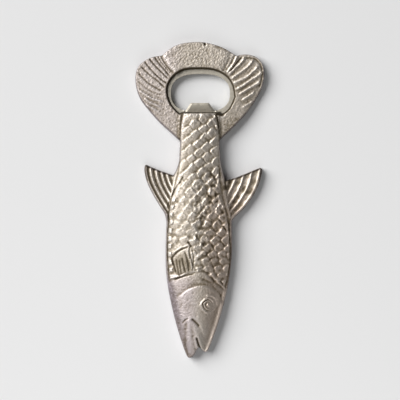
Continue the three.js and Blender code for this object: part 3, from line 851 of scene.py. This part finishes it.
def add_back(built, side, window):
    """The ring's seat and the flat back round it; side and window are (ids, xy) pairs."""
    seat_half = RING_HALF + RING_FLANGE + SEAT_GAP
    seat_xy = superellipse(seat_half, SEAT_POINTS)
    seat_top = built.add(seat_xy, RING_TOP, SIDE_CAVITY)
    built.cap([(seat_top, seat_xy), window])
    mouth_xy = superellipse(seat_half + SEAT_BEVEL, SEAT_POINTS)
    seat_low = built.add(seat_xy, SEAT_BEVEL, SIDE_CAVITY)
    mouth = built.add(mouth_xy, 0, EDGE_CAVITY)
    built.band(seat_low, seat_top)
    built.band(mouth, seat_low)
    built.cap([side, (mouth, mouth_xy)])


def build_casting(material):
    to_edge = grid.signed(closed(SILHOUETTE), FAR)
    to_window = -grid.signed(closed(WINDOW), FAR)
    face, tarnish_and_shading, painted_shade = casting_face(to_edge)
    xy, triangles, loops = contour(grid, np.minimum(to_edge, to_window) - RIM)
    height = sample(grid, face, xy)
    rolled = roll_over(height, xy[:, 1], sample(grid, to_edge, xy), sample(grid, to_window, xy))
    built = Builder()
    top = built.add(xy, rolled, sample(grid, tarnish_and_shading, xy), sample(grid, painted_shade, xy))
    built.face(top[triangles])
    window_loop, side_loop = sorted(loops, key=len)
    side = add_side_wall(built, side_loop, xy, height)
    window = add_window_wall(built, window_loop, xy, height)
    add_back(built, side, window)
    return built.finish("casting", material)


# --- Ring and adhesive.

ring_grid = Grid((-23, 39.5), (23.5, 75))
RING_POINTS = 200
TAB_ROOT, TAB_TIP, TAB_SLOPE = 46.6, 51.7, math.tan(math.radians(12))
TAB = [
    (-8.7, TAB_ROOT - 3), (8.8, TAB_ROOT - 3), (8.6, TAB_ROOT), (4.7, TAB_TIP), (-5, TAB_TIP),
    (-8.5, TAB_ROOT)]
CHAMFER_DEPTH, CHAMFER_WIDTH = 0.29, 1.1
STEEL_ROUND = 0.3  # radius of the steel's lower edges
STEEL_TONE = 0.32


def grown_ring(amount):
    """Distance in from the ring's opening grown by an amount, over the ring's grid."""
    return ring_grid.signed(superellipse(RING_HALF + amount, RING_POINTS), FAR)


def add_plate(name, outline, top, bottom, tarnish_and_shading, material):
    """A closed plate over an outline from contour(), between two heights at each of its points."""
    xy, triangles, loops = outline
    built = Builder()
    upper = built.add(xy, top, tarnish_and_shading)
    lower = built.add(xy, bottom)
    built.face(upper[triangles])
    built.face(lower[triangles][:, ::-1])
    for loop in loops:
        built.band(upper[loop], lower[loop])
    return built.finish(name, material)


def build_insert(material):
    """The pressed ring, with a tab that slopes up into its opening."""
    x, y = ring_grid.x, ring_grid.y
    ring = np.minimum(grown_ring(RING_FLANGE), -grown_ring(0))
    tab = ring_grid.signed(TAB, FAR)
    field = np.maximum(ring, tab)
    edge = np.clip(field / STEEL_ROUND, 0, 1)
    lift = np.where((tab > -1) & (ring < 0.5), np.clip(y - TAB_ROOT, 0, None) * TAB_SLOPE, 0)
    chamfer = np.where(y > TAB_ROOT, CHAMFER_DEPTH * (1 - np.clip(tab / CHAMFER_WIDTH, 0, 1)), 0)
    chamfer = np.where((ring < 0.2) & (tab > -0.3), chamfer, 0)
    top = RING_TOP + lift - 0.02 * (1 - edge) - chamfer + 0.008 * ring_grid.noise(5, 0.5)
    bottom = RING_BACK + lift + STEEL_ROUND * (1 - np.sqrt(edge * (2 - edge)))
    from_joint = ring_grid.signed(closed(WINDOW))
    # The ring is darkened next to the casting's edge: the dark joint, with painted shade in the gap.
    tone = STEEL_TONE + 0.05 * rise(tab, -0.3, 0.6) + 0.7 * (1 - rise(from_joint, 0.55, 0.9))
    # Painted shadow where the ring runs under the casting's lower right corner.
    tone += 0.9 * np.exp(-(((x - 10.4) / 1.3) ** 2) - ((y - 46.5) / 0.75) ** 2)
    outline = contour(ring_grid, field)
    top, bottom, tone = (sample(ring_grid, values, outline[0]) for values in (top, bottom, tone))
    return add_plate("ring", outline, top, bottom, tone, material)


def build_adhesive(material):
    """The bead that fills the seat behind the ring's flange, with an uneven inner edge."""
    outer = grown_ring(RING_FLANGE + SEAT_GAP - 0.1)
    inner = grown_ring(RING_FLANGE - 1.3)
    field = np.minimum(outer, 0.25 * ring_grid.noise(6, 1.6) - inner)
    edge = np.clip(field / 0.6, 0, 1)
    bottom = 0.75 - 0.5 * np.sqrt(edge * (2 - edge)) + 0.04 * ring_grid.noise(7, 0.9)
    outline = contour(ring_grid, field)
    bottom = np.clip(sample(ring_grid, bottom, outline[0]), 0.2, 0.9)
    return add_plate("adhesive", outline, RING_BACK, bottom, 0.5, material)


# --- Materials.

MIX_FACTOR, MIX_A, MIX_B, MIX_RESULT = 0, 6, 7, 2  # sockets of a Mix node that is set to colour


class Look:
    """A material in the making, with short ways to add nodes to it."""

    def __init__(self, name):
        self.material = bpy.data.materials.new(name)
        self.material.use_nodes = True
        self.nodes = self.material.node_tree.nodes
        self.link = self.material.node_tree.links.new
        self.shader = self.nodes["Principled BSDF"]

    def place(self):
        return self.nodes.new("ShaderNodeTexCoord").outputs["Object"]

    def attribute(self, name):
        node = self.nodes.new("ShaderNodeAttribute")
        node.attribute_name = name
        return node.outputs["Fac"]

    def noise(self, scale, detail):
        node = self.nodes.new("ShaderNodeTexNoise")
        node.inputs["Scale"].default_value = scale
        node.inputs["Detail"].default_value = detail
        self.link(self.place(), node.inputs["Vector"])
        return node.outputs["Fac"]

    def ramp(self, source, stops):
        """Colours, or single values, between stops."""
        node = self.nodes.new("ShaderNodeValToRGB")
        while len(node.color_ramp.elements) < len(stops):
            node.color_ramp.elements.new(0.5)
        for element, (place, colour) in zip(node.color_ramp.elements, stops):
            element.position = place
            element.color = (*colour, 1) if isinstance(colour, tuple) else (colour, colour, colour, 1)
        self.link(source, node.inputs["Fac"])
        return node.outputs["Color"]

    def math(self, operation, a, b):
        node = self.nodes.new("ShaderNodeMath")
        node.operation = operation
        for socket, value in zip(node.inputs, (a, b)):
            if isinstance(value, (int, float)):
                socket.default_value = value
            else:
                self.link(value, socket)
        return node.outputs["Value"]

    def rise(self, source, start, stop):
        """A smooth rise from 0 to 1 as the source goes from start to stop."""
        node = self.nodes.new("ShaderNodeMapRange")
        node.interpolation_type = "SMOOTHSTEP"
        node.inputs["From Min"].default_value = start
        node.inputs["From Max"].default_value = stop
        self.link(source, node.inputs["Value"])
        return node.outputs["Result"]

    def region(self, x_range, y_range):
        """1 in one part of the object, from a rise along X and another along Y, in metres."""
        axes = self.nodes.new("ShaderNodeSeparateXYZ")
        self.link(self.place(), axes.inputs["Vector"])
        return self.math("MULTIPLY", self.rise(axes.outputs["X"], *x_range),
                         self.rise(axes.outputs["Y"], *y_range))

    def mottled(self, name, scale, detail, amount):
        """A tone of the mesh, broken up by noise."""
        patches = self.math("SUBTRACT", self.noise(scale, detail), 0.5)
        return self.math("ADD", self.attribute(name), self.math("MULTIPLY", patches, amount))

    def multiply(self, amount, colour, by):
        """A colour multiplied by another one, as far as the amount says."""
        node = self.nodes.new("ShaderNodeMix")
        node.data_type = "RGBA"
        node.blend_type = "MULTIPLY"
        node.inputs[MIX_B].default_value = (*by, 1)
        self.link(amount, node.inputs[MIX_FACTOR])
        self.link(colour, node.inputs[MIX_A])
        return node.outputs[MIX_RESULT]

    def metal(self, colour, gloss):
        self.link(colour, self.shader.inputs["Base Color"])
        self.link(gloss, self.shader.inputs["Roughness"])
        self.shader.inputs["Metallic"].default_value = 1.0

    def bump(self, scale, detail, strength, depth):
        node = self.nodes.new("ShaderNodeBump")
        node.inputs["Strength"].default_value = strength
        node.inputs["Distance"].default_value = depth
        self.link(self.noise(scale, detail), node.inputs["Height"])
        self.link(node.outputs["Normal"], self.shader.inputs["Normal"])


def nickel():
    """Satin nickel with brown tarnish in its hollows; painted warm shade browns the right of the body and
    head, painted cool light cools the left of the head and tail, and painted shade greys the rims.
    """
    look = Look("cast_nickel")
    level = look.mottled("tarnish_and_shading", 260, 4, 0.25)
    colour = look.ramp(level, [
        (0.2, (0.74, 0.68, 0.61)), (FLAT_TONE, (0.61, 0.55, 0.478)), (0.68, (0.33, 0.28, 0.21)),
        (0.92, (0.13, 0.105, 0.07))])
    painted_warm_shade = look.region((-0.002, 0.008), (0.022, -0.012))
    head = look.region((0.002, -0.007), (-0.036, -0.046))
    tail = look.region((-0.006, -0.016), (0.026, 0.034))
    painted_cool_light = look.math("ADD", head, look.math("MULTIPLY", tail, 0.5))
    # Painted warm shade on the right and painted cool light on the left.
    colour = look.multiply(painted_warm_shade, colour, (1, 0.935, 0.905))
    colour = look.multiply(painted_cool_light, colour, (0.95, 0.935, 1.04))
    # Painted shade: a cool grey darkening on the rims, edges and side walls.
    colour = look.multiply(look.attribute("painted_shade"), colour, (0.52, 0.505, 0.575))
    look.metal(colour, look.ramp(level, [(0.3, 0.56), (0.5, 0.68), (0.8, 0.78)]))
    look.bump(1700, 4, 0.45, 0.0003)
    return look.material


def steel():
    """Pressed steel, mottled by wear, black in its joint with painted shade there, and with a painted
    shadow where it runs under the casting's lower right corner.
    """
    look = Look("pressed_steel")
    level = look.mottled("tarnish_and_shading", 700, 5, 0.5)
    colour = look.ramp(level, [
        (0.2, (0.76, 0.705, 0.6)), (0.7, (0.40, 0.365, 0.30)), (1, (0.07, 0.06, 0.05))])
    look.metal(colour, look.ramp(level, [(0.3, 0.5), (0.8, 0.66)]))
    look.bump(1500, 3, 0.3, 0.0002)
    return look.material


def adhesive():
    """Dark resin, uneven in colour."""
    look = Look("hardened_adhesive")
    colour = look.ramp(look.noise(500, 3), [(0.3, (0.075, 0.07, 0.062)), (0.7, (0.12, 0.112, 0.1))])
    look.link(colour, look.shader.inputs["Base Color"])
    look.shader.inputs["Roughness"].default_value = 0.45
    look.bump(700, 3, 0.3, 0.0002)
    return look.material


# --- Stage, lights and camera.

FLOOR_HALF, FLOOR_Z, FLOOR_GREY = 4, -0.0001, 0.8
WORLD_STRENGTH = 0.032
CAMERA_HEIGHT, LENS, SENSOR = 0.5965, 100, 36  # the lens and sensor in mm


def add_floor():
    mesh = bpy.data.meshes.new("floor")
    corners = [(-1, -1), (1, -1), (1, 1), (-1, 1)]
    mesh.from_pydata([(x * FLOOR_HALF, y * FLOOR_HALF, FLOOR_Z) for x, y in corners], [], [(0, 1, 2, 3)])
    look = Look("paper")
    look.shader.inputs["Base Color"].default_value = (FLOOR_GREY, FLOOR_GREY, FLOOR_GREY, 1)
    look.shader.inputs["Roughness"].default_value = 0.9
    mesh.materials.append(look.material)
    floor = add_object("floor", mesh)


def add_area(name, place, target, size, watts):
    """A rectangular lamp at a place, turned to a target."""
    light = bpy.data.lights.new(name, "AREA")
    light.shape = "RECTANGLE"
    light.size, light.size_y = size
    light.energy = watts
    lamp = add_object(name, light)
    lamp.location = place
    lamp.rotation_mode = "QUATERNION"
    lamp.rotation_quaternion = (Vector(target) - Vector(place)).to_track_quat("-Z", "Y")


def add_lights():
    """A dim even surround, a large key lamp from the upper left, and a small lamp by the head."""
    world = bpy.data.worlds.new("studio")
    bpy.context.scene.world = world
    world.use_nodes = True
    sky = world.node_tree.nodes["Background"]
    sky.inputs["Color"].default_value = (1, 1, 1, 1)
    sky.inputs["Strength"].default_value = WORLD_STRENGTH
    add_area("key", (-3.42, 1.975, 3.32), (0, 0, 0), (4.2, 3.6), 386)
    add_area("overhead", (0.05, -0.5, 0.5), (0, -0.2, 0), (0.5, 0.5), 1.25)


def add_camera():
    """A camera straight above the middle, as in the photograph."""
    camera = bpy.data.cameras.new("camera")
    camera.sensor_width = SENSOR
    camera.lens = LENS
    camera.clip_start, camera.clip_end = 0.01, 20
    holder = add_object("camera", camera)
    holder.location = (0, 0, CAMERA_HEIGHT)
    bpy.context.scene.camera = holder


casting = build_casting(nickel())
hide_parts("fish_casting")
ring = build_insert(steel())
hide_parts("opener_insert")
bead = build_adhesive(adhesive())
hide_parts("insert_adhesive")
add_floor()
add_lights()
add_camera()
bpy.context.scene.view_settings.view_transform = "Standard"
